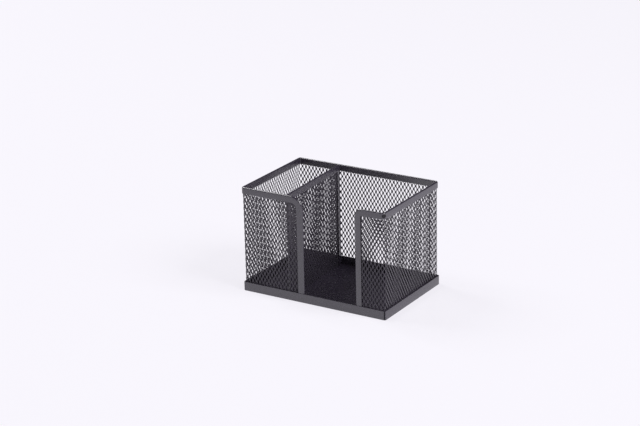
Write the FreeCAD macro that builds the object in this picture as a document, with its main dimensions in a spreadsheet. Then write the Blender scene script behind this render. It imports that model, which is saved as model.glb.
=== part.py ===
import FreeCAD, Part
import Sketcher
import math
import os

# Memo holder of black expanded steel mesh with folded steel edging, in millimetres.
# +X runs along the long front, +Y towards the back, +Z up.
# The origin is the centre of the flat underside of the base pan.

SIZES = {
    # the whole holder
    "holder_length": 150.0,
    "holder_depth": 100.0,
    "holder_height": 100.0,
    # pressed base pan
    "pan_height": 8.5,
    "pan_wall": 0.8,
    "pan_corner_inside": 1.2,
    "pan_bend_radius": 1.0,
    # expanded mesh
    "mesh_thickness": 0.8,
    "mesh_gap": 0.25,
    "mesh_border": 1.0,
    "diamond_width": 3.8,
    "diamond_height": 6.2,
    "strand_width": 0.8,
    # folded edging strip
    "rim_sheet": 0.4,
    "rim_gap": 0.25,
    "rim_face": 6.1,
    "rim_bend_inside": 0.4,
    "rim_corner_inside": 0.9,
    "rim_corner_run": 2.0,
    # front walls on both sides of the opening
    "front_left_past_divider": 18.9,
    "front_right_length": 30.5,
    "left_sweep_inside": 5.9,
    "right_sweep_inside": 1.9,
    # divider between pens and paper
    "divider_offset": 46.7,
    "divider_turn": 2.1,
    "divider_gap": 0.1,
    "divider_edge_face": 5.0,
}

# The edging strip is a fold over the edge of the mesh, with a gap on each side of it.
SLOT_WIDTH = "(sizes.mesh_thickness + 2 * sizes.rim_gap)"
RIM_WIDTH = f"({SLOT_WIDTH} + 2 * sizes.rim_sheet)"
RIM_BEND = "(sizes.rim_bend_inside + sizes.rim_sheet)"

# Distances inwards from the outer faces of the pan.
MIDDLE_INSET = "(sizes.pan_wall + sizes.mesh_gap + sizes.mesh_thickness / 2)"
BAY_INSET = f"({MIDDLE_INSET} + {RIM_WIDTH} / 2)"
MESH_INSIDE_INSET = f"({MIDDLE_INSET} + sizes.mesh_thickness / 2)"

# The middle surface of the mesh seen from above, and the round it makes in a corner.
MIDDLE_X = f"(sizes.holder_length / 2 - {MIDDLE_INSET})"
MIDDLE_Y = f"(sizes.holder_depth / 2 - {MIDDLE_INSET})"
CORNER_RADIUS = f"(sizes.rim_corner_inside + {RIM_WIDTH} / 2)"
RETURN_X = f"({MIDDLE_X} - {CORNER_RADIUS} - sizes.rim_corner_run)"

# The divider stands on its own middle line, turned a little about the upright.
DIVIDER_X = "(sizes.divider_offset - sizes.holder_length / 2)"
DIVIDER_RIM_REACH = f"(sizes.holder_depth / 2 - {BAY_INSET} - sizes.divider_gap)"
DIVIDER_EDGE_REACH = f"(sizes.holder_depth / 2 - {MESH_INSIDE_INSET} - sizes.divider_gap)"

# Edges of the front opening, and how its upper corners sweep round.
OPENING_LEFT = f"({DIVIDER_X} + sizes.front_left_past_divider)"
OPENING_RIGHT = "(sizes.holder_length / 2 - sizes.front_right_length)"
LEFT_SWEEP = "(sizes.left_sweep_inside + sizes.rim_face)"
RIGHT_SWEEP = "(sizes.right_sweep_inside + sizes.rim_face)"

# The edging hangs below the top edge, and the mesh ends inside its fold.
RIM_FOOT = "(sizes.holder_height - sizes.rim_face)"
FOLD_DEPTH = "(sizes.rim_sheet + sizes.rim_gap)"
MESH_TOP = f"(sizes.holder_height - {FOLD_DEPTH})"

UP = FreeCAD.Vector(0, 0, 1)
HALF_FOLD = math.radians(45 / 2)

doc = FreeCAD.newDocument("memo_holder")


def make_sheet():
    """Write the driving sizes into a spreadsheet, one named cell each."""
    sheet = doc.addObject("Spreadsheet::Sheet", "sizes")
    for row, (name, size) in enumerate(SIZES.items(), start=1):
        sheet.set(f"A{row}", name)
        sheet.set(f"B{row}", str(size))
        sheet.setAlias(f"B{row}", name)
    doc.recompute()
    return sheet


sizes = make_sheet()


def value(expression):
    """Return the number that an expression on the driving sizes gives."""
    result = sizes.evalExpression(expression)
    return float(getattr(result, "Value", result))


# Sketches of level and upright sides. A corner is (x, y, radius), each of them an
# expression on the sizes, and a radius of None leaves the corner sharp.


def new_body(label):
    """Add an empty body whose label is the sub-part's name."""
    body = doc.addObject("PartDesign::Body", label)
    body.Label = label
    return body


def new_sketch(body, name, plane_role, offset="0"):
    """Add a sketch on one of the body's origin planes, moved along its normal."""
    sketch = body.newObject("Sketcher::SketchObject", name)
    plane = next(item for item in body.Origin.OriginFeatures if item.Role == plane_role)
    sketch.AttachmentSupport = (plane, [""])
    sketch.MapMode = "FlatFace"
    sketch.setExpression("AttachmentOffset.Base.z", offset)
    return sketch


def bind(sketch, kind, *targets, size):
    """Add a dimension to the sketch and tie it to the driving sizes."""
    index = sketch.addConstraint(Sketcher.Constraint(kind, *targets, value(size)))
    sketch.setExpression(f"Constraints[{index}]", size)


def hold_side(sketch, side, near, far):
    """Keep a side upright or level, at its own distance from the sketch's origin."""
    if near[0] == far[0]:
        sketch.addConstraint(Sketcher.Constraint("Vertical", side))
        bind(sketch, "DistanceX", -1, 1, side, 1, size=near[0])
    else:
        sketch.addConstraint(Sketcher.Constraint("Horizontal", side))
        bind(sketch, "DistanceY", -1, 1, side, 1, size=near[1])


def hold_end(sketch, side, point, near, far):
    """Hold the free end of an open path, along the direction of its last side."""
    if near[0] == far[0]:
        bind(sketch, "DistanceY", -1, 1, side, point, size=near[1])
    else:
        bind(sketch, "DistanceX", -1, 1, side, point, size=near[0])


def round_corner(sketch, side_in, side_out, corner, radius):
    """Join two sides with an arc that is tangent to both of them."""
    leave = sketch.Geometry[side_in].EndPoint
    reach = sketch.Geometry[side_out].StartPoint
    centre = leave + reach - corner
    angles = [math.atan2(point.y - centre.y, point.x - centre.x) for point in (leave, reach)]
    ends = (1, 2)
    if (corner - leave).cross(reach - corner).z < 0:
        angles.reverse()
        ends = (2, 1)
    circle = Part.Circle(centre, UP, (leave - centre).Length)
    arc = sketch.addGeometry(Part.ArcOfCircle(circle, *angles))
    sketch.addConstraint(Sketcher.Constraint("Tangent", side_in, 2, arc, ends[0]))
    sketch.addConstraint(Sketcher.Constraint("Tangent", arc, ends[1], side_out, 1))
    bind(sketch, "Radius", arc, size=radius)


def draw(sketch, corners, closed=True):
    """Draw an outline, or an open path, and fix all of it by the driving sizes."""
    count = len(corners)
    spots = [FreeCAD.Vector(value(x), value(y), 0) for x, y, _ in corners]
    cuts = [value(radius) if radius else 0.0 for _, _, radius in corners]
    sides = []
    for index in range(count if closed else count - 1):
        after = (index + 1) % count
        along = (spots[after] - spots[index]).normalize()
        start = spots[index] + along * cuts[index]
        end = spots[after] - along * cuts[after]
        sides.append(sketch.addGeometry(Part.LineSegment(start, end)))
        hold_side(sketch, sides[-1], corners[index], corners[after])
    for index in range(0 if closed else 1, len(sides)):
        side_in, side_out = sides[index - 1], sides[index]
        if corners[index][2]:
            round_corner(sketch, side_in, side_out, spots[index], corners[index][2])
        else:
            sketch.addConstraint(Sketcher.Constraint("Coincident", side_in, 2, side_out, 1))
    if not closed:
        hold_end(sketch, sides[0], 1, corners[0], corners[1])
        hold_end(sketch, sides[-1], 2, corners[-1], corners[-2])
    return sketch


def rectangle(half_x, half_y, radius):
    """Return the corners of a rectangle centred on the sketch's origin."""
    return [
        (f"-{half_x}", f"-{half_y}", radius),
        (half_x, f"-{half_y}", radius),
        (half_x, half_y, radius),
        (f"-{half_x}", half_y, radius),
    ]


def strip_section(middle, edge, inwards, face="sizes.rim_face"):
    """Return the folded strip's section: two legs and a rounded fold at the edge.

    Args:
        middle: place of the strip's middle plane, along the sketch's x.
        edge: place of the closed edge, along the sketch's y.
        inwards: 1 or -1, the way in which the slot opens along y.
        face: height of the two legs.
    """
    open_edge = f"({edge} + {inwards} * {face})"
    slot_end = f"({edge} + {inwards} * sizes.rim_sheet)"
    outside = [f"({middle} {sign} {RIM_WIDTH} / 2)" for sign in "-+"]
    inside = [f"({middle} {sign} {SLOT_WIDTH} / 2)" for sign in "-+"]
    return [
        (outside[0], open_edge, None),
        (inside[0], open_edge, None),
        (inside[0], slot_end, "sizes.rim_bend_inside"),
        (inside[1], slot_end, "sizes.rim_bend_inside"),
        (inside[1], open_edge, None),
        (outside[1], open_edge, None),
        (outside[1], edge, RIM_BEND),
        (outside[0], edge, RIM_BEND),
    ]


def swap_axes(corners):
    """Exchange the two axes of an outline."""
    return [(y, x, radius) for x, y, radius in corners]


def add_pad(body, sketch, length):
    """Pad a sketch along its normal."""
    pad = body.newObject("PartDesign::Pad", f"{sketch.Name}_pad")
    pad.Profile = sketch
    pad.setExpression("Length", length)
    doc.recompute()
    return pad


def add_pipe(body, section, path):
    """Sweep a section along a path of straight sides and arcs."""
    doc.recompute()
    pipe = body.newObject("PartDesign::AdditivePipe", f"{body.Label}_strip")
    pipe.Profile = section
    pipe.Spine = (path, [f"Edge{number + 1}" for number in range(len(path.Shape.Edges))])
    doc.recompute()


def make_base_pan():
    """Pressed pan with a flat floor, an upturned wall and a rounded bottom bend."""
    body = new_body("base_pan")
    half_x, half_y = "(sizes.holder_length / 2)", "(sizes.holder_depth / 2)"
    corner = "(sizes.pan_corner_inside + sizes.pan_wall)"
    outline = draw(new_sketch(body, "pan_outline", "XY_Plane"), rectangle(half_x, half_y, corner))
    blank = add_pad(body, outline, "sizes.pan_height")
    bottom_edges = [
        f"Edge{number}"
        for number, edge in enumerate(blank.Shape.Edges, start=1)
        if edge.BoundBox.ZMax < sizes.pan_wall / 2
    ]
    bend = body.newObject("PartDesign::Fillet", "pan_bend")
    bend.Base = (blank, bottom_edges)
    bend.setExpression("Radius", "sizes.pan_bend_radius")
    doc.recompute()

    volume = body.Shape.Volume
    inside_x, inside_y = (f"({half} - sizes.pan_wall)" for half in (half_x, half_y))
    inside = new_sketch(body, "pan_inside", "XY_Plane", "sizes.pan_height")
    draw(inside, rectangle(inside_x, inside_y, "sizes.pan_corner_inside"))
    hollow = body.newObject("PartDesign::Pocket", "pan_hollow")
    hollow.Profile = inside
    hollow.setExpression("Length", "sizes.pan_height - sizes.pan_wall")
    doc.recompute()
    if not body.Shape.Volume < volume:
        raise RuntimeError("the pan isn't hollow")
    return body


def make_rim_main():
    """Edging strip over the top of the left, back and right walls and all corners."""
    body = new_body("rim_main")
    path = new_sketch(body, "rim_path", "XY_Plane", "sizes.holder_height")
    draw(
        path,
        [
            (f"-{RETURN_X}", f"-{MIDDLE_Y}", None),
            (f"-{MIDDLE_X}", f"-{MIDDLE_Y}", CORNER_RADIUS),
            (f"-{MIDDLE_X}", MIDDLE_Y, CORNER_RADIUS),
            (MIDDLE_X, MIDDLE_Y, CORNER_RADIUS),
            (MIDDLE_X, f"-{MIDDLE_Y}", CORNER_RADIUS),
            (RETURN_X, f"-{MIDDLE_Y}", None),
        ],
        closed=False,
    )
    section = new_sketch(body, "rim_section", "YZ_Plane", f"-{RETURN_X}")
    draw(section, strip_section(f"-{MIDDLE_Y}", "sizes.holder_height", -1))
    add_pipe(body, section, path)
    return body


def make_front_rim(label, edge, inwards, sweep, return_x):
    """Edging strip up a post beside the opening, round its corner and along the top.

    Args:
        label: name of the sub-part.
        edge: place of the opening's edge along X.
        inwards: 1 or -1, the way from that edge into the wall.
        sweep: radius of the round at the top of the post.
        return_x: place along X where the strip meets the main rim.
    """
    body = new_body(label)
    path = new_sketch(body, f"{label}_path", "XZ_Plane", MIDDLE_Y)
    draw(
        path,
        [
            (edge, "sizes.pan_height", None),
            (edge, "sizes.holder_height", sweep),
            (return_x, "sizes.holder_height", None),
        ],
        closed=False,
    )
    section = new_sketch(body, f"{label}_section", "XY_Plane", "sizes.pan_height")
    draw(section, swap_axes(strip_section(f"-{MIDDLE_Y}", edge, inwards)))
    add_pipe(body, section, path)
    return body


def place_divider_piece(body):
    """Stand a piece of the divider on the divider's own middle line."""
    turn = "rotation(vector(0; 0; 1); sizes.divider_turn)"
    body.setExpression("Placement", f"placement(vector({DIVIDER_X}; 0; 0); {turn})")


def make_divider_rim():
    """Edging strip along the top of the divider, between the front and back rims."""
    body = new_body("divider_top_rim")
    section = new_sketch(body, "divider_section", "XZ_Plane", f"-{DIVIDER_RIM_REACH}")
    draw(section, strip_section("0", "sizes.holder_height", -1))
    add_pad(body, section, f"2 * {DIVIDER_RIM_REACH}")
    place_divider_piece(body)
    return body


def make_divider_edge(label, side):
    """Upright edging strip at one end of the divider, from the floor to the rim."""
    body = new_body(label)
    section = new_sketch(body, f"{label}_section", "XY_Plane", "sizes.pan_wall")
    edge = f"({side} * {DIVIDER_EDGE_REACH})"
    draw(section, strip_section("0", edge, -side, "sizes.divider_edge_face"))
    add_pad(body, section, f"{RIM_FOOT} - sizes.divider_gap - sizes.pan_wall")
    place_divider_piece(body)
    return body


# The mesh is a flat strip with diamond holes, folded round the holder. Each of its
# corners is two folds of 45 degrees with a plain facet between them, which touch the
# round of the edging strip's middle line.


def polygon(points):
    """Return the flat face with these corners."""
    return Part.Face(Part.makePolygon(points + points[:1]))


def sew(faces):
    """Join faces that share their edges into one solid."""
    skin = Part.makeCompound(faces)
    skin.sewShape()
    solid = Part.makeSolid(skin.Shells[0])
    if solid.Volume < 0:
        solid.reverse()
    return solid


def offset_path(points, distance):
    """Shift a folded line sideways, to its left, with a mitre at each fold."""
    sides = [(after - before).normalize() for before, after in zip(points, points[1:])]
    lefts = [UP.cross(side) for side in sides]
    shifted = []
    for point, before, after in zip(points, lefts[:1] + lefts, lefts + lefts[-1:]):
        mitre = (before + after).normalize()
        shifted.append(point + mitre * (distance / mitre.dot(after)))
    return shifted


class MeshSheet:
    """One upright sheet of mesh, perforated on its longest flat.

    Args:
        outer: corners of its left face seen from above, at its bottom edge.
        inner: the same corners on its right face.
        height: height of the sheet.
    """

    def __init__(self, outer, inner, height):
        self.outer = outer
        self.inner = inner
        self.height = height
        self.pitch = value("sizes.diamond_width / 2")
        rise = value("sizes.diamond_height / 2")
        strand = math.hypot(self.pitch, rise) * value("sizes.strand_width / 2")
        self.half_hole = self.pitch - strand / rise
        self.hole_rise = rise - strand / self.pitch

    def solid(self):
        """Return the sheet's solid."""
        faces = [self.end(0), self.end(-1)]
        lengths = [(b - a).Length for a, b in zip(self.inner, self.inner[1:])]
        for index, length in enumerate(lengths):
            if length == max(lengths):
                faces += self.perforated_flat(index)
            else:
                faces += self.strip(self.plain_line(index), self.plain_line(index + 1))
        return sew(faces)

    def end(self, index):
        """Return the narrow upright face at one end of the sheet."""
        rise = UP * self.height
        foot_out, foot_in = self.outer[index], self.inner[index]
        return polygon([foot_out, foot_in, foot_in + rise, foot_out + rise])

    def plain_line(self, index):
        """Return an upright line of the sheet that no hole touches."""
        return self.outer[index], self.inner[index], FreeCAD.Vector(), []

    def strip(self, left, right):
        """Return the faces of the sheet between two upright lines.

        A line is its foot on the outer face, its foot on the inner face, the way
        from the line to the tip of a hole that it halves, and those holes' heights.
        """
        faces = []
        for side in (0, 1):
            foot, reach, holes = left[side], left[2], left[3]
            left_edge = self.notched_edge(foot, reach, holes)
            foot, reach, holes = right[side], right[2], right[3]
            right_edge = self.notched_edge(foot, -reach, holes)
            faces.append(polygon(right_edge + left_edge[::-1]))
        for lift in (FreeCAD.Vector(), UP * self.height):
            faces.append(polygon([spot + lift for spot in (left[0], right[0], right[1], left[1])]))
        return faces

    def notched_edge(self, foot, reach, holes):
        """Return one upright edge of a strip, with half a diamond cut in at each hole."""
        points = [foot]
        for middle in holes:
            points.append(foot + UP * (middle - self.hole_rise))
            points.append(foot + UP * middle + reach)
            points.append(foot + UP * (middle + self.hole_rise))
        return points + [foot + UP * self.height]

    def hole_faces(self, line):
        """Return the four walls of each hole on an upright line."""
        outer, inner, reach, holes = line
        faces = []
        for middle in holes:
            tips = [UP * (middle - self.hole_rise), UP * middle + reach]
            tips += [UP * (middle + self.hole_rise), UP * middle - reach]
            for tip, after in zip(tips, tips[1:] + tips[:1]):
                faces.append(polygon([outer + tip, outer + after, inner + after, inner + tip]))
        return faces

    def perforated_flat(self, index):
        """Return the faces of one flat that carries staggered diamond holes."""
        starts = (self.outer[index], self.inner[index])
        ends = (self.outer[index + 1], self.inner[index + 1])
        along = (ends[1] - starts[1]).normalize()
        first = max(0.0, (starts[1] - starts[0]).dot(along))
        last = min((end - starts[0]).dot(along) for end in ends)
        border = value("sizes.mesh_border")
        room = last - first - 2 * (border + self.half_hole)
        columns = int(room / self.pitch) + 1
        margin = (last - first - (columns - 1) * self.pitch) / 2
        across = UP.cross(along) * value("sizes.mesh_thickness")
        lines = [self.plain_line(index)]
        for column in range(columns):
            outer = starts[0] + along * (first + margin + column * self.pitch)
            holes = self.hole_heights(column % 2, border)
            lines.append((outer, outer - across, along * self.half_hole, holes))
        lines.append(self.plain_line(index + 1))
        faces = []
        for left, right in zip(lines, lines[1:]):
            faces += self.strip(left, right)
        for line in lines:
            faces += self.hole_faces(line)
        return faces

    def hole_heights(self, stagger, border):
        """Return the heights of the holes' middles on an even or a staggered line."""
        pitch = value("sizes.diamond_height")
        rows = int((self.height - 2 * (border + self.hole_rise)) / pitch) + 1
        lowest = (self.height - (rows - 1) * pitch) / 2
        return [lowest + (row + stagger / 2) * pitch for row in range(rows - stagger)]


def wall_path():
    """Return the folds of the mesh wall seen from above, in the middle of the sheet.

    The path starts at the left post of the opening and goes round by the back.
    """
    middle_x, middle_y = value(MIDDLE_X), value(MIDDLE_Y)
    radius = value(CORNER_RADIUS)
    cut = radius - radius * math.tan(HALF_FOLD)
    fold_x, fold_y = middle_x - cut, middle_y - cut
    spots = [
        (value(f"{OPENING_LEFT} - {FOLD_DEPTH}"), -middle_y),
        (-fold_x, -middle_y),
        (-middle_x, -fold_y),
        (-middle_x, fold_y),
        (-fold_x, middle_y),
        (fold_x, middle_y),
        (middle_x, fold_y),
        (middle_x, -fold_y),
        (fold_x, -middle_y),
        (value(f"{OPENING_RIGHT} + {FOLD_DEPTH}"), -middle_y),
    ]
    return [FreeCAD.Vector(x, y, sizes.pan_wall) for x, y in spots]


def round_off(solid, edge, inwards, sweep):
    """Cut the upper corner of a front sheet to the round of the edging strip."""
    radius = value(f"{sweep} - {FOLD_DEPTH}")
    centre_x = value(f"{edge} + {inwards} * {sweep}")
    centre = FreeCAD.Vector(centre_x, -sizes.holder_depth, sizes.holder_height - value(sweep))
    box = Part.makeBox(radius, sizes.holder_depth, radius)
    box.Placement.Base = FreeCAD.Vector(min(centre_x, centre_x - inwards * radius), centre.y, centre.z)
    cylinder = Part.makeCylinder(radius, sizes.holder_depth, centre, FreeCAD.Vector(0, 1, 0))
    return solid.cut(box.cut(cylinder)).Solids[0]


def add_feature(label, shape, placement=FreeCAD.Placement()):
    """Add a finished solid to the document under its sub-part's name."""
    feature = doc.addObject("Part::Feature", label)
    feature.Label = label
    feature.Shape = shape
    feature.Placement = placement
    return feature


def make_wall_mesh():
    """Mesh of the five walls, one sheet for each, meeting at the folds."""
    path = wall_path()
    half = sizes.mesh_thickness / 2
    outer, inner = offset_path(path, half), offset_path(path, -half)
    height = value(MESH_TOP) - sizes.pan_wall
    spans = {
        "mesh_front_left": (0, 1),
        "mesh_left": (1, 4),
        "mesh_back": (4, 5),
        "mesh_right": (5, 8),
        "mesh_front_right": (8, 9),
    }
    solids = {}
    for label, (start, end) in spans.items():
        sheet = MeshSheet(outer[start : end + 1], inner[start : end + 1], height)
        solids[label] = sheet.solid()
    left, right = "mesh_front_left", "mesh_front_right"
    solids[left] = round_off(solids[left], OPENING_LEFT, -1, LEFT_SWEEP)
    solids[right] = round_off(solids[right], OPENING_RIGHT, 1, RIGHT_SWEEP)
    return [add_feature(label, solid) for label, solid in solids.items()]


def make_divider_mesh():
    """Flat sheet of mesh between the two bays, held on three sides by edging."""
    reach = value(DIVIDER_RIM_REACH)
    half = sizes.mesh_thickness / 2
    faces = [
        [FreeCAD.Vector(side * half, end * reach, sizes.pan_wall) for end in (-1, 1)]
        for side in (-1, 1)
    ]
    sheet = MeshSheet(*faces, value(MESH_TOP) - sizes.pan_wall)
    turn = FreeCAD.Rotation(UP, sizes.divider_turn)
    placement = FreeCAD.Placement(FreeCAD.Vector(value(DIVIDER_X), 0, 0), turn)
    return add_feature("divider_mesh", sheet.solid(), placement)


def check(pieces):
    """Stop if any object failed to compute or any sub-part isn't one sound solid."""
    for item in doc.Objects:
        if "Invalid" in item.State or "Error" in item.State:
            raise RuntimeError(f"{item.Label} failed: {item.State}")
    for piece in pieces:
        shape = piece.Shape
        if shape.isNull() or not shape.isValid() or len(shape.Solids) != 1:
            raise RuntimeError(f"{piece.Label} isn't one sound solid")


def main():
    """Build every sub-part, check it and write it to its own file."""
    pieces = [make_base_pan(), *make_wall_mesh(), make_rim_main()]
    pieces.append(make_front_rim("rim_front_left", OPENING_LEFT, -1, LEFT_SWEEP, f"-{RETURN_X}"))
    pieces.append(make_front_rim("rim_front_right", OPENING_RIGHT, 1, RIGHT_SWEEP, RETURN_X))
    pieces += [make_divider_mesh(), make_divider_rim()]
    pieces.append(make_divider_edge("divider_front_edge", -1))
    pieces.append(make_divider_edge("divider_rear_edge", 1))
    doc.recompute()
    check(pieces)
    os.makedirs("parts", exist_ok=True)
    for piece in pieces:
        piece.Shape.exportStep(f"parts/{piece.Label}.step")
        print(f"{piece.Label}: {piece.Shape.Volume / 1000:.3f} cm3, {len(piece.Shape.Faces)} faces")


main()
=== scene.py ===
"""Memo holder of black expanded steel mesh with folded edging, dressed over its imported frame."""

import logging
import math
from collections.abc import Callable, Iterator
from contextlib import contextmanager
from dataclasses import dataclass, field
from enum import Enum

import bmesh
import bpy
from mathutils import Matrix, Vector


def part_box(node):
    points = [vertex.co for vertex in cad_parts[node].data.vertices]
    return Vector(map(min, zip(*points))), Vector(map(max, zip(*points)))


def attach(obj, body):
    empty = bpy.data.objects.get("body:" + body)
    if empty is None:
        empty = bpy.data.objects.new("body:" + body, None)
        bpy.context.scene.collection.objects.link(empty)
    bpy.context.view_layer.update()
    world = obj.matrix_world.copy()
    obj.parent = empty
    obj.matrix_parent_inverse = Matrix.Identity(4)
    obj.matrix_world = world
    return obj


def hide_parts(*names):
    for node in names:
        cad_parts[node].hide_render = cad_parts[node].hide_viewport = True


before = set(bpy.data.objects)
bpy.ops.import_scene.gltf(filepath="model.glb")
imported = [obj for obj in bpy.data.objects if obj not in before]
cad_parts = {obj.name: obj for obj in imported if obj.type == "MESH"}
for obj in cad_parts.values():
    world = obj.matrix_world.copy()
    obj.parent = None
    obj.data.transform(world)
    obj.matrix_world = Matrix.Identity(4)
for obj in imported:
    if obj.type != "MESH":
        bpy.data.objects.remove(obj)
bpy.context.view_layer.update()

MM = 0.001
TINY = 0.01 * MM
UP = Vector((0, 0, 1))
QUARTER_TURN = math.pi / 2

# A face looks a given way when the cosine between its normal and that way is above this.
FACING = 0.9

# Sizes that the mesh and its edging share: the folds of the wall, in the middle of the sheet, and
# the rounds at the top of the two posts, on the closed side of the edging.
FOLD = 1.95 * MM
LEFT_SWEEP = 12 * MM
RIGHT_SWEEP = 8 * MM

log = logging.getLogger("memo_holder")

FaceTest = Callable[[Vector, Vector], bool]
EdgeTest = Callable[[bmesh.types.BMEdge], bool]


class Slot(Enum):
    """Material slots of the record that the pieces take their finish from."""

    MESH = "coated_mesh"
    SHEET = "coated_sheet"


class End(Enum):
    """The two ends of the front gap, with the way from the gap into the wall along X."""

    LEFT = -1
    RIGHT = 1


# Work on one piece at a time, in object mode or in edit mode.


def take(piece: bpy.types.Object) -> None:
    """Select one piece alone and make it active.

    Args:
        piece: the object to work on.
    """
    bpy.ops.object.select_all(action="DESELECT")
    piece.select_set(True)
    bpy.context.view_layer.objects.active = piece


@contextmanager
def editing(piece: bpy.types.Object, mode: str = "FACE") -> Iterator[None]:
    """Keep a piece in edit mode, with nothing selected at the start.

    Args:
        piece: the object to edit.
        mode: VERT, EDGE or FACE, what is selected in it.

    Returns:
        A context that ends in object mode.
    """
    take(piece)
    bpy.ops.object.mode_set(mode="EDIT")
    bpy.ops.mesh.select_mode(type=mode)
    bpy.ops.mesh.select_all(action="DESELECT")
    yield
    bpy.ops.object.mode_set(mode="OBJECT")


def pick_faces(piece: bpy.types.Object, wanted: FaceTest) -> None:
    """Select the faces of a piece in edit mode by their middle and normal.

    Args:
        piece: the object in edit mode.
        wanted: test of a face's middle and normal.
    """
    work = bmesh.from_edit_mesh(piece.data)
    for face in work.faces:
        face.select_set(wanted(face.calc_center_median(), face.normal))
    work.select_flush_mode()
    bmesh.update_edit_mesh(piece.data)


def pick_edges(piece: bpy.types.Object, wanted: EdgeTest) -> None:
    """Select the edges of a piece in edit mode.

    Args:
        piece: the object in edit mode.
        wanted: test of an edge.
    """
    work = bmesh.from_edit_mesh(piece.data)
    for edge in work.edges:
        edge.select_set(wanted(edge))
    bmesh.update_edit_mesh(piece.data)


def is_fold(edge: bmesh.types.BMEdge) -> bool:
    """Say whether two faces meet at the edge in a sharp corner."""
    return len(edge.link_faces) == 2 and edge.calc_face_angle() > QUARTER_TURN / 2


def is_upright(edge: bmesh.types.BMEdge) -> bool:
    """Say whether an edge stands upright."""
    side = edge.verts[1].co - edge.verts[0].co
    return abs(side.z) > side.length / 2


def settle(piece: bpy.types.Object) -> None:
    """Put the place, turn and scale of a piece into its mesh."""
    take(piece)
    bpy.ops.object.transform_apply(location=True, rotation=True, scale=True)


def add_block(low: Vector, high: Vector) -> bpy.types.Object:
    """Add a block between two corners, as the start of a piece.

    Args:
        low: its lowest corner.
        high: its highest corner.

    Returns:
        The block, at the origin with its place in its mesh.
    """
    bpy.ops.object.select_all(action="DESELECT")
    bpy.ops.mesh.primitive_cube_add(size=1, location=(low + high) / 2, scale=high - low)
    block = bpy.context.object
    settle(block)
    return block


def extrude(way: Vector, count: int = 1) -> None:
    """Extrude what is selected in edit mode all the given way, in a count of equal steps."""
    for _ in range(count):
        bpy.ops.mesh.extrude_region_move(TRANSFORM_OT_translate={"value": way / count})


def sink(border: float, depth: float) -> None:
    """Sink a pocket with square walls into the selected faces, inside a border of a given width."""
    bpy.ops.mesh.inset(thickness=border, depth=0)
    bpy.ops.mesh.inset(thickness=0, depth=-depth)


def trim(sheet: bpy.types.Object, spot: Vector, outwards: Vector) -> None:
    """Cut a sheet of mesh along a plane and close the cut strands.

    Args:
        sheet: the sheet.
        spot: a point on the cut.
        outwards: the way to the side that falls off.
    """
    with editing(sheet):
        bpy.ops.mesh.select_all(action="SELECT")
        bpy.ops.mesh.bisect(plane_co=spot, plane_no=outwards, use_fill=True, clear_outer=True)


def add_modifier(piece: bpy.types.Object, kind: str, **settings: object) -> None:
    """Add a modifier to a piece and apply it.

    Args:
        piece: the object to modify.
        kind: the modifier's type.
        settings: its properties by name.
    """
    take(piece)
    bpy.ops.object.modifier_add(type=kind)
    modifier = piece.modifiers[-1]
    for name, setting in settings.items():
        setattr(modifier, name, setting)
    bpy.ops.object.modifier_apply(modifier=modifier.name)


def copy_along(piece: bpy.types.Object, count: int, step: Vector, merge: bool = False) -> None:
    """Repeat a piece in a row, inside its own mesh.

    Args:
        piece: the object to repeat.
        count: the number of copies in all.
        step: the way from one copy to the next.
        merge: whether copies grow together where they touch.
    """
    add_modifier(
        piece,
        "ARRAY",
        count=count,
        use_relative_offset=False,
        use_constant_offset=True,
        constant_offset_displace=step,
        use_merge_vertices=merge,
        merge_threshold=TINY / 10,
    )


def join(pieces: list[bpy.types.Object]) -> bpy.types.Object:
    """Join pieces into the first of them.

    Args:
        pieces: the objects to join.

    Returns:
        The joined piece.
    """
    take(pieces[0])
    for piece in pieces:
        piece.select_set(True)
    bpy.ops.object.join()
    return pieces[0]


# The coats of the holder, and how a finished piece gets its own.


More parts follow.
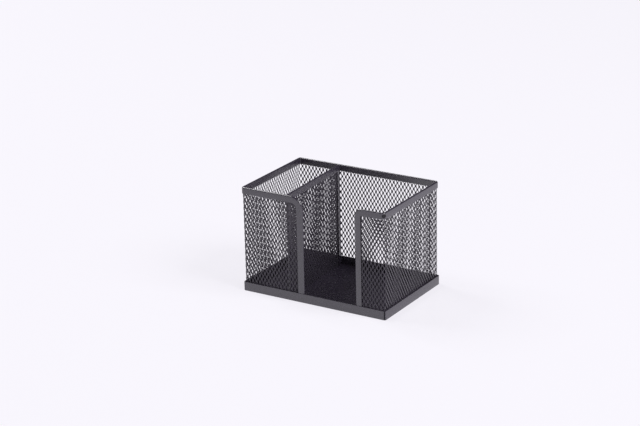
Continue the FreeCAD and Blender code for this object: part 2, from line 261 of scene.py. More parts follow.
@dataclass(frozen=True)
class PowderCoat:
    """Satin powder coat on steel: a fine pebbled skin that dulls a little in patches.

    Attributes:
        name: name of the material.
        colour: linear base colour of the coat.
        patch_size: size of the patches where the colour and sheen drift.
        roughness: lowest and highest roughness.
        refraction: index of refraction, which sets how strongly the coat reflects.
        grain_size: size of the pebbles in the skin.
        grain_height: height of the pebbles.
        shade_spread: share by which the patches are darker or lighter than the colour.
        patch_detail: number of finer layers in the patches.
        grain_detail: number of finer layers in the pebbles.
    """

    name: str
    colour: tuple[float, float, float]
    patch_size: float = 18 * MM
    roughness: tuple[float, float] = (0.23, 0.31)
    refraction: float = 1.87
    grain_size: float = 0.55 * MM
    grain_height: float = 0.006 * MM
    shade_spread: float = 0.12
    patch_detail: int = 4
    grain_detail: int = 2

    def material(self) -> bpy.types.Material:
        """Build the coat's material.

        Returns:
            A node material on Object coordinates.
        """
        coat = bpy.data.materials.new(self.name)
        coat.use_nodes = True
        nodes = coat.node_tree.nodes
        place = nodes.new("ShaderNodeTexCoord")
        shader = nodes["Principled BSDF"]
        shader.inputs["IOR"].default_value = self.refraction
        patches = self._noise(coat, place, self.patch_size, self.patch_detail)
        self._range(coat, patches, shader.inputs["Roughness"], self.roughness)
        self._tint(coat, patches, shader.inputs["Base Color"])
        self._grain(coat, place, shader.inputs["Normal"])
        return coat

    def _noise(
        self, coat: bpy.types.Material, place: bpy.types.Node, size: float, detail: int
    ) -> bpy.types.Node:
        """Add a noise of a given size on the piece's own coordinates.

        Args:
            coat: the material.
            place: its texture coordinate node.
            size: size of one cell of the noise.
            detail: number of finer layers.

        Returns:
            The noise node.
        """
        noise = coat.node_tree.nodes.new("ShaderNodeTexNoise")
        noise.inputs["Scale"].default_value = 1 / size
        noise.inputs["Detail"].default_value = detail
        coat.node_tree.links.new(place.outputs["Object"], noise.inputs["Vector"])
        return noise

    def _range(
        self,
        coat: bpy.types.Material,
        noise: bpy.types.Node,
        socket: bpy.types.NodeSocket,
        limits: tuple[float, float],
    ) -> None:
        """Drive a socket by a noise, between two limits.

        Args:
            coat: the material.
            noise: the noise node.
            socket: the socket to drive.
            limits: value at the noise's lowest and highest.
        """
        spread = coat.node_tree.nodes.new("ShaderNodeMapRange")
        spread.inputs["To Min"].default_value = limits[0]
        spread.inputs["To Max"].default_value = limits[1]
        coat.node_tree.links.new(noise.outputs["Fac"], spread.inputs["Value"])
        coat.node_tree.links.new(spread.outputs["Result"], socket)

    def _tint(
        self, coat: bpy.types.Material, noise: bpy.types.Node, socket: bpy.types.NodeSocket
    ) -> None:
        """Drift the base colour a little lighter and darker over the patches.

        Args:
            coat: the material.
            noise: the noise node.
            socket: the base colour socket.
        """
        ramp = coat.node_tree.nodes.new("ShaderNodeValToRGB")
        shares = (1 - self.shade_spread, 1 + self.shade_spread)
        for stop, share in zip(ramp.color_ramp.elements, shares):
            stop.color = (*(part * share for part in self.colour), 1)
        coat.node_tree.links.new(noise.outputs["Fac"], ramp.inputs["Fac"])
        coat.node_tree.links.new(ramp.outputs["Color"], socket)

    def _grain(
        self, coat: bpy.types.Material, place: bpy.types.Node, socket: bpy.types.NodeSocket
    ) -> None:
        """Raise the pebbled skin of the coat.

        Args:
            coat: the material.
            place: its texture coordinate node.
            socket: the normal socket.
        """
        grain = self._noise(coat, place, self.grain_size, self.grain_detail)
        bump = coat.node_tree.nodes.new("ShaderNodeBump")
        bump.inputs["Distance"].default_value = self.grain_height
        coat.node_tree.links.new(grain.outputs["Fac"], bump.inputs["Height"])
        coat.node_tree.links.new(bump.outputs["Normal"], socket)


@dataclass(frozen=True)
class Finishes:
    """The coats of the holder.

    Attributes:
        sheet: the coat of the pan and the edging.
        mesh: the coat of the strands, which throws back less light.
        painted_shade: darker, rougher coat that paints shade into the seams of the pan and onto the
            weld.
    """

    sheet: PowderCoat = PowderCoat("satin_sheet_coat", (0.030, 0.024, 0.039))
    mesh: PowderCoat = PowderCoat(
        "satin_mesh_coat", (0.035, 0.029, 0.043), refraction=1.55, grain_size=0.4 * MM
    )
    # A darker, rougher coat: painted shade for the corner seams of the pan and for the weld.
    painted_shade: PowderCoat = PowderCoat(
        "painted_shade_coat", (0.012, 0.010, 0.014), roughness=(0.6, 0.75), refraction=1.4, grain_size=0.3 * MM
    )

    def coats(self) -> dict[Slot, bpy.types.Material]:
        """Return the material for each slot."""
        return {Slot.SHEET: self.sheet.material(), Slot.MESH: self.mesh.material()}


@dataclass
class Workshop:
    """Hands each finished piece its name, coat, body and CAD nodes.

    Attributes:
        coats: the coat of each slot.
        painted_shade_coat: the darker coat that paints shade into seams and onto welds.
        smooth_angle: greatest angle between two faces that are shaded as one.
    """

    coats: dict[Slot, bpy.types.Material]
    # The darker coat paints shade into the seams and onto the weld.
    painted_shade_coat: bpy.types.Material
    smooth_angle: float = math.radians(35)

    def deliver(self, piece: bpy.types.Object, name: str, slot: Slot, nodes: list[str]) -> None:
        """Finish a piece and set it in place of its CAD nodes.

        Args:
            piece: the modelled object.
            name: its name.
            slot: its material slot, whose coat it gets unless it wears one already.
            nodes: the CAD nodes that it stands for, none for a detail.
        """
        piece.name = name
        piece.data.name = name
        if not piece.data.materials:
            piece.data.materials.append(self.coats[slot])
        take(piece)
        bpy.ops.object.shade_smooth_by_angle(angle=self.smooth_angle)
        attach(piece, "root")
        if nodes:
            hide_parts(*nodes)
        log.info("%s: %d faces, in place of %s", name, len(piece.data.polygons), nodes or "nothing")


# The sub-assemblies of the holder.


@dataclass
class BasePan:
    """Pressed sheet-steel pan: flat floor, upturned wall, rounded bends.

    Attributes:
        wall: thickness of the sheet.
        corner: plan radius of the outer corners.
        bend: radius of the bottom bend.
        lip: radius of the rounding on the rim of the wall.
        seam_edge: metal left round the seam at each corner.
        seam_depth: depth of that seam.
        seam_band: least and most that a facet in the seam faces more along Y than along X.
        corner_steps: number of facets round a corner.
        bend_steps: number of facets in the bottom bend.
        lip_steps: number of facets in the rounding on the rim.
    """

    wall: float = 0.8 * MM
    corner: float = 2.0 * MM
    bend: float = 0.3 * MM
    lip: float = 0.2 * MM
    seam_edge: float = 0.15 * MM
    seam_depth: float = 0.5 * MM
    seam_band: tuple[float, float] = (-0.1, 0.75)
    corner_steps: int = 9
    bend_steps: int = 5
    lip_steps: int = 2

    def build(self, shop: Workshop) -> None:
        """Model the pan from a block.

        Args:
            shop: where the piece is finished.
        """
        low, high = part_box("base_pan")
        pan = add_block(low, high)
        pan.data.materials.append(shop.coats[Slot.SHEET])
        pan.data.materials.append(shop.painted_shade_coat)
        with editing(pan, "EDGE"):
            pick_edges(pan, is_upright)
            bpy.ops.mesh.bevel(offset=self.corner, segments=self.corner_steps, affect="EDGES")
        with editing(pan, "EDGE"):
            pick_edges(pan, lambda edge: self._is_level(edge, low.z))
            bpy.ops.mesh.bevel(offset=self.bend, segments=self.bend_steps, affect="EDGES")
        with editing(pan):
            pick_faces(pan, self._is_seam)
            sink(self.seam_edge, self.seam_depth)
            # The walls of the seam get the darker coat, which paints shade into the seam over the shade
            # its pocket casts.
            pan.active_material_index = pan.data.materials.find(shop.painted_shade_coat.name)
            bpy.ops.object.material_slot_assign()
            pick_faces(pan, lambda middle, normal: normal.z > FACING and middle.z > high.z - TINY)
            sink(self.wall, high.z - low.z - self.wall)
        with editing(pan, "EDGE"):
            pick_edges(pan, lambda edge: self._is_level(edge, high.z))
            bpy.ops.mesh.bevel(offset=self.lip, segments=self.lip_steps, affect="EDGES")
        shop.deliver(pan, "pressed_base_pan", Slot.SHEET, ["base_pan"])

    def _is_seam(self, middle: Vector, normal: Vector) -> bool:
        """Say whether a face is one of the upright facets of a corner that form its seam."""
        along_y = abs(normal.y) - abs(normal.x)
        return abs(normal.z) < TINY and self.seam_band[0] < along_y < self.seam_band[1]

    def _is_level(self, edge: bmesh.types.BMEdge, height: float) -> bool:
        """Say whether an edge is a fold that lies at a height."""
        return is_fold(edge) and all(abs(end.co.z - height) < TINY for end in edge.verts)


@dataclass
class MeshSheet:
    """Expanded steel: upright strands that swing from side to side and meet at bonds.

    Attributes:
        pitch: distance from one strand to the next, which is rounded to fill the sheet.
        rise: height of one diamond.
        strand: width of a strand's flat.
        metal: thickness of a strand.
        tilt: turn of the strands out of the plane of the sheet.
        bond: length over which two strands are one.
        soften: bevel of the strands' long edges.
    """

    pitch: float = 1.9 * MM
    rise: float = 6.2 * MM
    strand: float = 0.88 * MM
    metal: float = 0.45 * MM
    tilt: float = math.radians(8)
    bond: float = 1.5 * MM
    soften: float = 0.1 * MM

    def _one_strand(self, height: float) -> bpy.types.Object:
        """Model one strand, taller than the sheet by a diamond at each end.

        Args:
            height: height of the sheet.

        Returns:
            The strand, centred on X and Y, open at both ends, the lower of them below zero.
        """
        swing = self.pitch - self.strand * math.cos(self.tilt)
        weave = self.strand * math.sin(self.tilt)
        bpy.ops.object.select_all(action="DESELECT")
        bpy.ops.mesh.primitive_cube_add(
            size=1,
            location=(-swing / 2, weave / 2, self.bond / 2 - self.rise),
            rotation=(0, 0, self.tilt),
            scale=(self.strand, self.metal, self.bond),
        )
        strand = bpy.context.object
        settle(strand)
        with editing(strand, "EDGE"):
            pick_edges(strand, is_upright)
            bpy.ops.mesh.bevel(offset=self.soften, segments=1, affect="EDGES")
        with editing(strand):
            pick_faces(strand, lambda middle, normal: normal.z > FACING)
            run = self.rise / 2 - self.bond
            extrude(Vector((swing, -weave, run)))
            extrude(Vector((0, 0, self.bond)))
            extrude(Vector((-swing, weave, run)))
            pick_faces(strand, lambda middle, normal: abs(normal.z) > FACING)
            bpy.ops.mesh.delete(type="ONLY_FACE")
        copy_along(strand, math.ceil(height / self.rise) + 2, Vector((0, 0, self.rise)), merge=True)
        return strand

    def sheet(self, first: int, count: int, pitch: float, low: float, high: float) -> bpy.types.Object:
        """Model a flat run of strands side by side along X.

        Args:
            first: number of the first strand, which says where it stands and how it swings.
            count: number of strands.
            pitch: distance from one strand to the next.
            low: height of the sheet's lower edge.
            high: height of its upper edge.

        Returns:
            The flat sheet, closed along both edges.
        """
        strands = []
        for number in (first, first + 1):
            strand = self._one_strand(high - low)
            stagger = self.rise / 2 * (number % 2)
            strand.location = ((number + 0.5) * pitch, 0, low + stagger)
            settle(strand)
            own = len(range(number, first + count, 2))
            copy_along(strand, own, Vector((2 * pitch, 0, 0)))
            strands.append(strand)
        sheet = join(strands)
        trim(sheet, Vector((0, 0, low)), -UP)
        trim(sheet, Vector((0, 0, high)), UP)
        return sheet


@dataclass
class MeshWall:
    """The folded mesh wall: one strip that goes round from the left post to the right.

    Attributes:
        cloth: the expanded steel that it is made of.
        corner: radius of the folds, in the middle of the sheet.
        corner_steps: number of straight runs round a fold of the middle line.
        flat_steps: number of cuts in each side of the middle line.
        left_sweep: radius of the edging at the top of the left post.
        right_sweep: radius of the edging at the top of the right post.
        sweep_steps: number of parts that the cuts divide such a round into.
    """

    cloth: MeshSheet = field(default_factory=MeshSheet)
    corner: float = FOLD
    corner_steps: int = 12
    flat_steps: int = 40
    left_sweep: float = LEFT_SWEEP
    right_sweep: float = RIGHT_SWEEP
    sweep_steps: int = 6

    def build(self, shop: Workshop) -> None:
        """Model the wall, one sheet for each side.

        Args:
            shop: where the pieces are finished.
        """
        path = self._path()
        length = self._length(path)
        total = round(length / self.cloth.pitch)
        pitch = length / total
        low, high = (corner.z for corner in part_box("mesh_back"))
        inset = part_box("rim_front_left")[1].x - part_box("mesh_front_left")[1].x
        turns = [round(turn / pitch) for turn in self._turns()]
        names = ("mesh_front_left", "mesh_left", "mesh_back", "mesh_right", "mesh_front_right")
        for name, first, last in zip(names, [0] + turns, turns + [total]):
            sheet = self.cloth.sheet(first, last - first, pitch, low, high)
            if first == 0:
                self._round_off(sheet, 0, 1, self.left_sweep - inset, high)
            if last == total:
                self._round_off(sheet, length, -1, self.right_sweep - inset, high)
            add_modifier(sheet, "CURVE", object=path, deform_axis="POS_X")
            shop.deliver(sheet, f"{name}_strands", Slot.MESH, [name])
        bpy.data.objects.remove(path)

    def _corners(self) -> list[Vector]:
        """Work out the plan of the strip.

        Returns:
            The ends and corners of its middle line seen from above, from the left post on.
        """
        low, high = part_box("mesh_left")[0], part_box("mesh_right")[1]
        half = (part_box("mesh_back")[1].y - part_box("mesh_back")[0].y) / 2
        left, right = low.x + half, high.x - half
        front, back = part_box("mesh_front_left")[0].y + half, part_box("mesh_back")[1].y - half
        start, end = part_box("mesh_front_left")[1].x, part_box("mesh_front_right")[0].x
        plan = [(start, front), (left, front), (left, back), (right, back), (right, front), (end, front)]
        return [Vector((x, y, 0)) for x, y in plan]

    def _turns(self) -> list[float]:
        """Work out where the strip is folded, with what each fold saves over a square corner.

        Returns:
            How far along the strip the middle of each fold lies.
        """
        corners = self._corners()
        saved = self.corner * (2 - QUARTER_TURN)
        middles = []
        along = -saved / 2
        for before, after in zip(corners, corners[1:-1]):
            along += (after - before).length
            middles.append(along)
            along -= saved
        return middles

    def _length(self, path: bpy.types.Object) -> float:
        """Return the length of a curve of straight runs."""
        spots = [point.co.to_3d() for point in path.data.splines[0].points]
        return sum((after - before).length for before, after in zip(spots, spots[1:]))

    def _path(self) -> bpy.types.Object:
        """Draw the middle line of the strip.

        Returns:
            An open curve with rounded corners that starts at the left post.
        """
        corners = self._corners()
        bpy.ops.object.select_all(action="DESELECT")
        bpy.ops.mesh.primitive_plane_add(size=MM, location=corners[0])
        path = bpy.context.object
        settle(path)
        with editing(path, "VERT"):
            bpy.ops.mesh.select_all(action="SELECT")
            bpy.ops.mesh.merge(type="CENTER")
            for before, after in zip(corners, corners[1:]):
                extrude(after - before)
            bpy.ops.mesh.select_all(action="SELECT")
            bpy.ops.mesh.bevel(
                offset=self.corner, segments=self.corner_steps, affect="VERTICES", clamp_overlap=False
            )
        with editing(path, "EDGE"):
            pick_edges(path, lambda edge: edge.calc_length() > self.corner)
            bpy.ops.mesh.subdivide(number_cuts=self.flat_steps)
        take(path)
        bpy.ops.object.convert(target="CURVE")
        # A converted curve may start at either end, and the strands are counted from the left post.
        if (path.data.splines[0].points[0].co.to_3d() - corners[0]).length > TINY:
            bpy.ops.object.mode_set(mode="EDIT")
            bpy.ops.curve.select_all(action="SELECT")
            bpy.ops.curve.switch_direction()
            bpy.ops.object.mode_set(mode="OBJECT")
        return path

    def _round_off(
        self, sheet: bpy.types.Object, edge: float, way: int, radius: float, high: float
    ) -> None:
        """Round an upper corner of a flat sheet to the sweep of its edging.

        Args:
            sheet: the flat sheet.
            edge: place of its upright edge along X.
            way: 1 or -1, the way along X from that edge into the sheet.
            radius: radius of the round.
            high: height of the sheet's upper edge.
        """
        centre = Vector((edge + way * radius, 0, high - radius))
        for step in range(1, self.sweep_steps):
            angle = QUARTER_TURN * step / self.sweep_steps
            outwards = Vector((-way * math.cos(angle), 0, math.sin(angle)))
            trim(sheet, centre + outwards * radius, outwards)


@dataclass
class Edging:
    """Folded strip over a cut edge of the mesh: two legs joined by a rounded fold.

    It is led along its edge as a solid bar, then its slot is sunk and its fold rounded.

    Attributes:
        width: thickness over both legs.
        sheet: thickness of the strip's own sheet.
        crown: thickness of the closed side over the slot.
        fold: rounding of the fold.
        fold_shape: fullness of that rounding, from a chamfer at 0.25 to a round at 0.5.
        fold_steps: number of facets in that rounding.
        step: length of one step along a straight.
        turn_step: angle of one step round a turn.
    """

    width: float = 2.1 * MM
    sheet: float = 0.4 * MM
    crown: float = 0.6 * MM
    fold: float = 1.0 * MM
    fold_shape: float = 0.4
    fold_steps: int = 6
    step: float = 5 * MM
    turn_step: float = math.radians(9)

    @contextmanager
    def led_from(self, low: Vector, high: Vector, way: Vector) -> Iterator[bpy.types.Object]:
        """Start a bar as a block and keep the face selected from which it goes on.

        Args:
            low: lowest corner of the block.
            high: its highest corner.
            way: the way in which the bar goes on.

        Returns:
            A context that gives the bar, in edit mode.
        """
        bar = add_block(low, high)
        with editing(bar):
            pick_faces(bar, lambda middle, normal: normal.dot(way) > FACING)
            yield bar

    def straight(self, way: Vector) -> None:
        """Lead the bar straight on all the given way, in short steps."""
        extrude(way, max(1, round(way.length / self.step)))

    def turn(self, centre: Vector, axis: Vector) -> None:
        """Lead the bar a quarter turn round a centre, right-handed about an axis."""
        steps = round(QUARTER_TURN / self.turn_step)
        # The spin tool counts its angle the other way.
        bpy.ops.mesh.spin(steps=steps, angle=-QUARTER_TURN, center=centre, axis=axis)

    def fold_up(self, bar: bpy.types.Object, face: float, depth_at: Callable[[Vector], float]) -> None:
        """Sink the slot for the mesh into a bar and round its fold.

        Args:
            bar: the solid bar.
            face: height of the legs.
            depth_at: gives how deep a spot lies below the closed side.
        """
        with editing(bar):
            bpy.ops.mesh.select_all(action="SELECT")
            bpy.ops.mesh.remove_doubles(threshold=TINY)
            bpy.ops.mesh.normals_make_consistent(inside=False)
            pick_faces(bar, lambda middle, normal: depth_at(middle) > face - self.sheet)
            sink(self.sheet, face - self.crown)

        def along_fold(edge: bmesh.types.BMEdge) -> bool:
            """Say whether an edge is one of the two long ones of the closed side."""
            closed = all(depth_at(end.co) < TINY for end in edge.verts)
            return closed and is_fold(edge) and abs(edge.calc_length() - self.width) > TINY

        with editing(bar, "EDGE"):
            pick_edges(bar, along_fold)
            bpy.ops.mesh.bevel(
                offset=self.fold, segments=self.fold_steps, profile=self.fold_shape, affect="EDGES"
            )


@dataclass
class MainRim:
    """Edging over the left, back and right walls and round all four corners.

    Attributes:
        edging: the folded strip.
        corner: radius of the corners, in the middle of the strip.
    """

    edging: Edging = field(default_factory=Edging)
    corner: float = FOLD

    def build(self, shop: Workshop) -> None:
        """Lead the strip round the top, then fold it up.

        Args:
            shop: where the piece is finished.
        """
        low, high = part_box("rim_main")
        bend = self.edging.width / 2 + self.corner
        left, right, front, back = low.x + bend, high.x - bend, low.y + bend, high.y - bend
        plan = ((left, front), (left, back), (right, back), (right, front))
        turns = [Vector((x, y, 0)) for x, y in plan]
        ends = turns[1:] + [Vector((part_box("rim_front_right")[1].x, front, 0))]
        start = Vector((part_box("rim_front_left")[0].x, low.y + self.edging.width, high.z))
        with self.edging.led_from(Vector((left, low.y, low.z)), start, Vector((-1, 0, 0))) as bar:
            for centre, end in zip(turns, ends):
                self.edging.turn(centre, -UP)
                self.edging.straight(end - centre)
        self.edging.fold_up(bar, high.z - low.z, lambda spot: high.z - spot.z)
        shop.deliver(bar, "top_edging", Slot.SHEET, ["rim_main"])


@dataclass
class FrontRim:
    """Edging of one front wall: up the post, round the sweep and along the top.

    Attributes:
        end: which end of the gap it stands at.
        node: the CAD node that it stands for.
        sweep: outer radius of the round at the top of the post.
        edging: the folded strip.
    """

    end: End
    node: str
    sweep: float
    edging: Edging = field(default_factory=Edging)

    def build(self, shop: Workshop) -> None:
        """Lead the strip up and over, then fold it up.

        Args:
            shop: where the piece is finished.
        """
        low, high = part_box(self.node)
        way = self.end.value
        edge, far = (high.x, low.x) if self.end is End.LEFT else (low.x, high.x)
        centre = Vector((edge + way * self.sweep, 0, high.z - self.sweep))
        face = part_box("rim_main")[1].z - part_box("rim_main")[0].z
        left, right = sorted((edge, edge + way * face))
        foot = Vector((left, low.y, low.z))
        knee = Vector((right, high.y, low.z + self.edging.step))

        def depth_at(spot: Vector) -> float:
            """Measure how deep a spot lies below the closed side of the strip.

            Args:
                spot: the spot.

            Returns:
                Its distance from the closed side.
            """
            if spot.z < centre.z:
                return abs(spot.x - edge)
            if (spot.x - centre.x) * way > 0:
                return high.z - spot.z
            return self.sweep - math.hypot(spot.x - centre.x, spot.z - centre.z)

        with self.edging.led_from(foot, knee, UP) as bar:
            self.edging.straight(Vector((0, 0, centre.z - knee.z)))
            self.edging.turn(centre, Vector((0, way, 0)))
            self.edging.straight(Vector((far - centre.x, 0, 0)))
        self.edging.fold_up(bar, face, depth_at)
        shop.deliver(bar, f"{self.node}_edging", Slot.SHEET, [self.node])


@dataclass
class CornerWeld:
    """Spot weld on the front right corner, where the front edging meets the top edging, in the darker
    coat that paints shade on it.

    Attributes:
        radius: radius of the weld.
        depth: its thickness, most of it inside the corner.
        stand: how far its face stands out from the corner.
        height: height of its middle over the lower edge of the edging.
        turn: which way it faces, as a turn to the right of the front.
        facets: number of sides of the disc that it starts from.
        soften: rounding of its edge.
        soften_steps: number of facets in that rounding.
        dish: border and depth of the dish in its face.
        corner: outer radius of the edging's corner.
    """

    radius: float = 2.0 * MM
    depth: float = 1.6 * MM
    stand: float = 0.2 * MM
    height: float = 3.0 * MM
    turn: float = math.radians(54)
    facets: int = 24
    soften: float = 0.9 * MM
    soften_steps: int = 4
    dish: tuple[float, float] = (0.3 * MM, 0.15 * MM)
    corner: float = FOLD + Edging.width / 2

    def build(self, shop: Workshop) -> None:
        """Model the weld as a disc, round its edge and dish its face.

        Args:
            shop: where the piece is finished.
        """
        low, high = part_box("rim_main")
        outwards = Vector((math.sin(self.turn), -math.cos(self.turn), 0))
        centre = Vector((high.x - self.corner, low.y + self.corner, low.z + self.height))
        front = centre + outwards * (self.corner + self.stand)
        bpy.ops.object.select_all(action="DESELECT")
        bpy.ops.mesh.primitive_cylinder_add(
            vertices=self.facets,
            radius=self.radius,
            depth=self.depth,
            location=front - outwards * self.depth / 2,
            rotation=outwards.to_track_quat("Z", "Y").to_euler(),
        )
        disc = bpy.context.object
        settle(disc)
        with editing(disc):
            pick_faces(disc, lambda middle, normal: normal.dot(outwards) > FACING)
            bpy.ops.mesh.bevel(offset=self.soften, segments=self.soften_steps, affect="EDGES")
            pick_faces(disc, lambda middle, normal: (middle - front).length < TINY)
            border, depth = self.dish
            bpy.ops.mesh.inset(thickness=border, depth=-depth)
        # The weld wears the darker coat, which paints shade onto it.
        disc.data.materials.append(shop.painted_shade_coat)
        shop.deliver(disc, "corner_spot_weld", Slot.SHEET, [])


@dataclass
class Divider:
    """Mesh divider with edging on top and at both upright ends.

    Attributes:
        cloth: the expanded steel of its web, tilted the other way than in the wall.
        edging: the folded strip.
        turn: how far it stands off square, about the upright.
        edge_face: height of the legs of the upright strips.
    """

    cloth: MeshSheet = field(default_factory=lambda: MeshSheet(tilt=math.radians(-16)))
    edging: Edging = field(default_factory=Edging)
    turn: float = math.radians(2.1)
    edge_face: float = 5.0 * MM

    def build(self, shop: Workshop) -> None:
        """Model the web and its three strips.

        Args:
            shop: where the pieces are finished.
        """
        reach = self._reach(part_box("divider_top_rim")[1].y)
        self._web(shop, reach)
        self._top(shop, reach)
        for node, side in (("divider_front_edge", -1), ("divider_rear_edge", 1)):
            self._upright(shop, node, side)

    def _reach(self, far: float) -> float:
        """Return how far a strip goes along the divider, from how far its box goes along Y."""
        return (far - self.edging.width / 2 * math.sin(self.turn)) / math.cos(self.turn)

    def _stand(self, piece: bpy.types.Object, quarter: float = 0.0) -> None:
        """Move a piece onto the divider's own middle line.

        Args:
            piece: a piece that lies along Y, through the origin.
            quarter: the turn that first brings a piece along X to lie along Y.
        """
        low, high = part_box("divider_top_rim")
        middle = Vector(((low.x + high.x) / 2, (low.y + high.y) / 2, 0))
        piece.matrix_world = Matrix.Translation(middle) @ Matrix.Rotation(self.turn + quarter, 4, "Z")
        settle(piece)

    def _web(self, shop: Workshop, reach: float) -> None:
        """Model the mesh between the strips.

        Args:
            shop: where the piece is finished.
            reach: how far it goes from the middle.
        """
        low, high = (corner.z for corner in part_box("divider_mesh"))
        count = round(2 * reach / self.cloth.pitch)
        sheet = self.cloth.sheet(0, count, 2 * reach / count, low, high)
        sheet.location = (-reach, 0, 0)
        settle(sheet)
        self._stand(sheet, QUARTER_TURN)
        shop.deliver(sheet, "divider_strands", Slot.MESH, ["divider_mesh"])

    def _top(self, shop: Workshop, reach: float) -> None:
        """Model the strip along the top.

        Args:
            shop: where the piece is finished.
            reach: how far it goes from the middle.
        """
        low, high = (corner.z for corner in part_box("divider_top_rim"))
        half = self.edging.width / 2
        first = -reach + self.edging.step
        foot, knee = Vector((-half, -reach, low)), Vector((half, first, high))
        with self.edging.led_from(foot, knee, Vector((0, 1, 0))) as bar:
            self.edging.straight(Vector((0, reach - first, 0)))
        self.edging.fold_up(bar, high - low, lambda spot: high - spot.z)
        self._stand(bar)
        shop.deliver(bar, "divider_top_edging", Slot.SHEET, ["divider_top_rim"])

    def _upright(self, shop: Workshop, node: str, side: int) -> None:
        """Model the upright strip at one end.

        Args:
            shop: where the piece is finished.
            node: the CAD node that it stands for.
            side: -1 for the front end, 1 for the rear end.
        """
        low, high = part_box(node)
        half = self.edging.width / 2
        reach = self._reach(max(abs(low.y), abs(high.y)))
        front, rear = sorted((side * reach, side * (reach - self.edge_face)))
        foot = Vector((-half, front, low.z))
        knee = Vector((half, rear, low.z + self.edging.step))
        with self.edging.led_from(foot, knee, UP) as bar:
            self.edging.straight(Vector((0, 0, high.z - knee.z)))
        self.edging.fold_up(bar, self.edge_face, lambda spot: reach - side * spot.y)
        self._stand(bar)
        shop.deliver(bar, f"{node}_edging", Slot.SHEET, [node])


# The studio round the holder.


@dataclass(frozen=True)
class Lamp:
    """A soft square lamp that looks at the holder.

    Attributes:
        name: name of the lamp.
        azimuth: where it hangs, as a turn to the right of the front.
        elevation: its height as an angle.
        power: its power in watts.
    """

    name: str
    azimuth: float
    elevation: float
    power: float


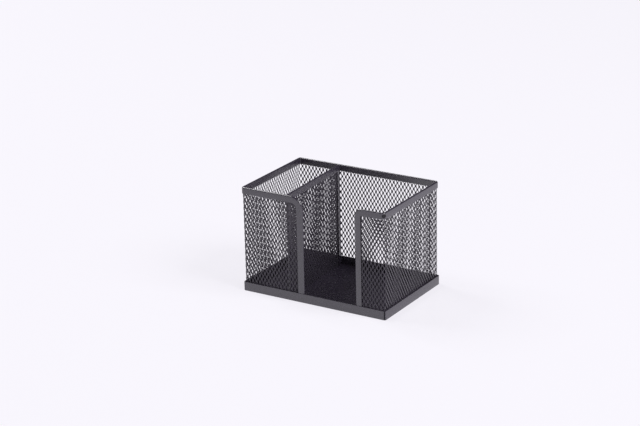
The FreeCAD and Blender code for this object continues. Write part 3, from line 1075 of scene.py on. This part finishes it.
@dataclass
class Studio:
    """Pale floor, soft lamps and the camera at the photograph's angle.

    Attributes:
        aim: point that the middle of the picture shows.
        azimuth: turn of the camera to the right of the front.
        elevation: height of the camera as an angle.
        roll: turn of the camera about its own axis.
        distance: distance from the camera to the aim.
        lens: focal length for a sensor 36 mm wide.
        lamps: the lamps.
        lamp_size: side of each lamp.
        lamp_distance: distance from each lamp to the aim.
        floor_size: side of the floor.
        floor_colour: linear colour of the floor and of the studio low down.
        floor_roughness: roughness of the floor.
        floor_sheen: specular level of the floor.
        floor_glow: share of its plain colour, without light or shadow, in what is seen of it.
        low_light: strength of the studio's own light low down.
        dim_light: strength of that light higher up.
        dim_band: sines of the two elevations between which that light dims.
    """

    aim: Vector = field(default_factory=lambda: Vector((-28.0, 9.6, 64.3)) * MM)
    azimuth: float = math.radians(32.28)
    elevation: float = math.radians(19.72)
    roll: float = math.radians(-1.34)
    distance: float = 1.7775
    lens: float = 108.79
    lamps: tuple[Lamp, ...] = (
        Lamp("left_softbox", math.radians(270), math.radians(47), 114),
        Lamp("right_softbox", math.radians(90), math.radians(42), 134),
    )
    lamp_size: float = 2.0
    lamp_distance: float = 4.0
    floor_size: float = 12.0
    floor_colour: tuple[float, float, float] = (0.935, 0.915, 0.975)
    floor_roughness: float = 0.9
    floor_sheen: float = 0.1
    floor_glow: float = 0.78
    low_light: float = 1.0
    dim_light: float = 0.05
    dim_band: tuple[float, float] = (0.11, 0.2)

    def build(self) -> None:
        """Set up the floor, the world, the lamps and the camera."""
        self._floor()
        self._world()
        for lamp in self.lamps:
            self._hang(lamp)
        self._camera()
        bpy.context.scene.view_settings.view_transform = "Standard"

    def _floor(self) -> None:
        """Lay the pale floor."""
        bpy.ops.object.select_all(action="DESELECT")
        bpy.ops.mesh.primitive_plane_add(size=self.floor_size)
        floor = bpy.context.object
        floor.name = "floor"
        floor.data.materials.append(self._floor_paint())

    def _floor_paint(self) -> bpy.types.Material:
        """Build the floor's material.

        Most of what the camera or a reflection sees of it is its plain colour. The light that it
        throws on the holder comes from its lit surface alone.

        Returns:
            A node material that keeps the floor's shadows.
        """
        paint = bpy.data.materials.new("pale_sweep")
        paint.use_nodes = True
        tree = paint.node_tree
        shader = tree.nodes["Principled BSDF"]
        shader.inputs["Base Color"].default_value = (*self.floor_colour, 1)
        shader.inputs["Roughness"].default_value = self.floor_roughness
        shader.inputs["Specular IOR Level"].default_value = self.floor_sheen
        glow = tree.nodes.new("ShaderNodeEmission")
        glow.inputs["Color"].default_value = (*self.floor_colour, 1)
        rays = tree.nodes.new("ShaderNodeLightPath").outputs
        seen = self._combine(tree, "ADD", rays["Is Camera Ray"], rays["Is Glossy Ray"])
        seen = self._combine(tree, "MAXIMUM", seen, rays["Is Transmission Ray"])
        share = tree.nodes.new("ShaderNodeMapRange")
        share.inputs["To Max"].default_value = self.floor_glow
        mix = tree.nodes.new("ShaderNodeMixShader")
        tree.links.new(seen, share.inputs["Value"])
        tree.links.new(share.outputs["Result"], mix.inputs["Fac"])
        tree.links.new(shader.outputs["BSDF"], mix.inputs[1])
        tree.links.new(glow.outputs["Emission"], mix.inputs[2])
        tree.links.new(mix.outputs["Shader"], tree.nodes["Material Output"].inputs["Surface"])
        return paint

    def _combine(
        self,
        tree: bpy.types.NodeTree,
        operation: str,
        first: bpy.types.NodeSocket,
        second: bpy.types.NodeSocket,
    ) -> bpy.types.NodeSocket:
        """Combine two values of a node tree.

        Args:
            tree: the node tree.
            operation: what is worked out from the two.
            first: one value.
            second: the other value.

        Returns:
            The socket with the result.
        """
        maths = tree.nodes.new("ShaderNodeMath")
        maths.operation = operation
        tree.links.new(first, maths.inputs[0])
        tree.links.new(second, maths.inputs[1])
        return maths.outputs["Value"]

    def _world(self) -> None:
        """Surround everything with a studio as pale as the floor low down and dim above it."""
        world = bpy.data.worlds.new("studio")
        bpy.context.scene.world = world
        world.use_nodes = True
        nodes, links = world.node_tree.nodes, world.node_tree.links
        place = nodes.new("ShaderNodeTexCoord")
        parts = nodes.new("ShaderNodeSeparateXYZ")
        fade = nodes.new("ShaderNodeMapRange")
        fade.interpolation_type = "SMOOTHSTEP"
        fade.inputs["From Min"].default_value = self.dim_band[0]
        fade.inputs["From Max"].default_value = self.dim_band[1]
        fade.inputs["To Min"].default_value = self.low_light
        fade.inputs["To Max"].default_value = self.dim_light
        links.new(place.outputs["Generated"], parts.inputs["Vector"])
        links.new(parts.outputs["Z"], fade.inputs["Value"])
        links.new(fade.outputs["Result"], nodes["Background"].inputs["Strength"])
        nodes["Background"].inputs["Color"].default_value = (*self.floor_colour, 1)

    def _hang(self, lamp: Lamp) -> None:
        """Hang a lamp that looks at the holder.

        Args:
            lamp: the lamp.
        """
        light = bpy.data.lights.new(lamp.name, "AREA")
        light.size = self.lamp_size
        light.energy = lamp.power
        softbox = bpy.data.objects.new(lamp.name, light)
        softbox.matrix_world = self._outlook(lamp.azimuth, lamp.elevation, self.lamp_distance)
        bpy.context.scene.collection.objects.link(softbox)

    def _camera(self) -> None:
        """Stand the camera where the photograph was taken from."""
        view = bpy.data.cameras.new("camera")
        view.lens = self.lens
        camera = bpy.data.objects.new("camera", view)
        camera.matrix_world = self._outlook(self.azimuth, self.elevation, self.distance, self.roll)
        bpy.context.scene.collection.objects.link(camera)
        bpy.context.scene.camera = camera

    def _outlook(
        self, azimuth: float, elevation: float, distance: float, roll: float = 0.0
    ) -> Matrix:
        """Work out the place and turn of something that looks at the aim.

        Args:
            azimuth: where it stands, as a turn to the right of the front.
            elevation: its height as an angle.
            distance: its distance from the aim.
            roll: its turn about its own axis.

        Returns:
            Its matrix in the world.
        """
        turn = Matrix.Rotation(azimuth, 4, "Z")
        tip = Matrix.Rotation(QUARTER_TURN - elevation, 4, "X")
        own = Matrix.Rotation(roll, 4, "Z")
        back = Matrix.Translation((0, 0, distance))
        return Matrix.Translation(self.aim) @ turn @ tip @ own @ back


def corners(box: tuple[Vector, Vector]) -> list[list[float]]:
    """Return a box as plain lists of numbers."""
    return [list(corner) for corner in box]


def main() -> None:
    """Build the holder piece by piece, then the studio around it."""
    logging.basicConfig(level=logging.INFO, format="%(name)s: %(message)s")
    finishes = Finishes()
    shop = Workshop(finishes.coats(), finishes.painted_shade.material())
    BasePan().build(shop)
    MeshWall().build(shop)
    MainRim().build(shop)
    FrontRim(End.LEFT, "rim_front_left", LEFT_SWEEP).build(shop)
    FrontRim(End.RIGHT, "rim_front_right", RIGHT_SWEEP).build(shop)
    CornerWeld().build(shop)
    Divider().build(shop)
    Studio().build()


if __name__ == "__main__":
    main()
